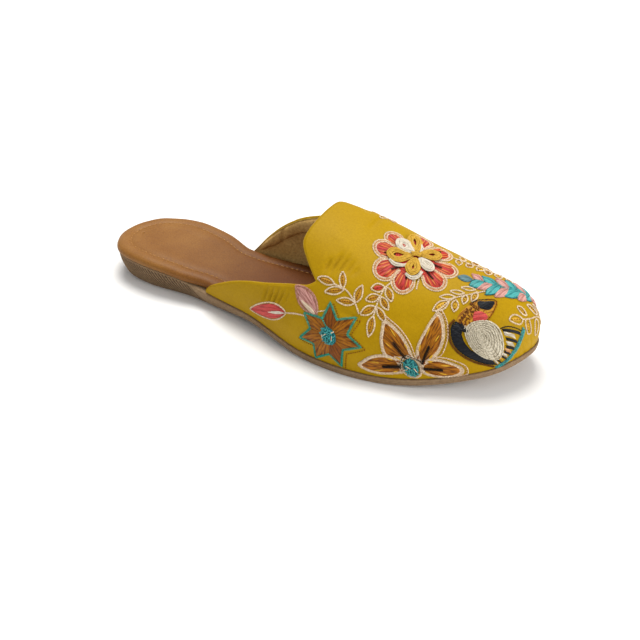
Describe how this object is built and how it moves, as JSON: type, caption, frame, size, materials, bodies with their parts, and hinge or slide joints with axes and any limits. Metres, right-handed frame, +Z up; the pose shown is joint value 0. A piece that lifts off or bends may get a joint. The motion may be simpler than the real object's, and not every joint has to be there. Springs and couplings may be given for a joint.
{
  "type": "flat mule",
  "caption": "Backless right-foot mule with a high embroidered fabric vamp and low side wings, on a padded footbed and a moulded sole with a low ribbed heel.",
  "frame": {"origin": "on the floor, under the middle of the shoe's bounding box", "axes": "+X from heel to toe, +Y towards the inner (medial) side of the foot, +Z up"},
  "size_m": [0.253, 0.089, 0.0641],
  "materials": {
    "tpr_sole": "matt moulded, ribbed round the heel",
    "footbed_leather": "smooth tan leather look, satin, stitched round the edge",
    "upper_fabric": "fine plain weave, mustard yellow, soft sheen",
    "lining_textile": "brushed beige-brown textile",
    "embroidery_thread": "satin and chain stitch in coral, cream, ochre, turquoise and navy thread"
  },
  "bodies": {
    "root": {"outsole": "tpr_sole", "footbed": "footbed_leather", "upper": "upper_fabric", "thread_rosette": "embroidery_thread"}
  },
  "joints": []
}
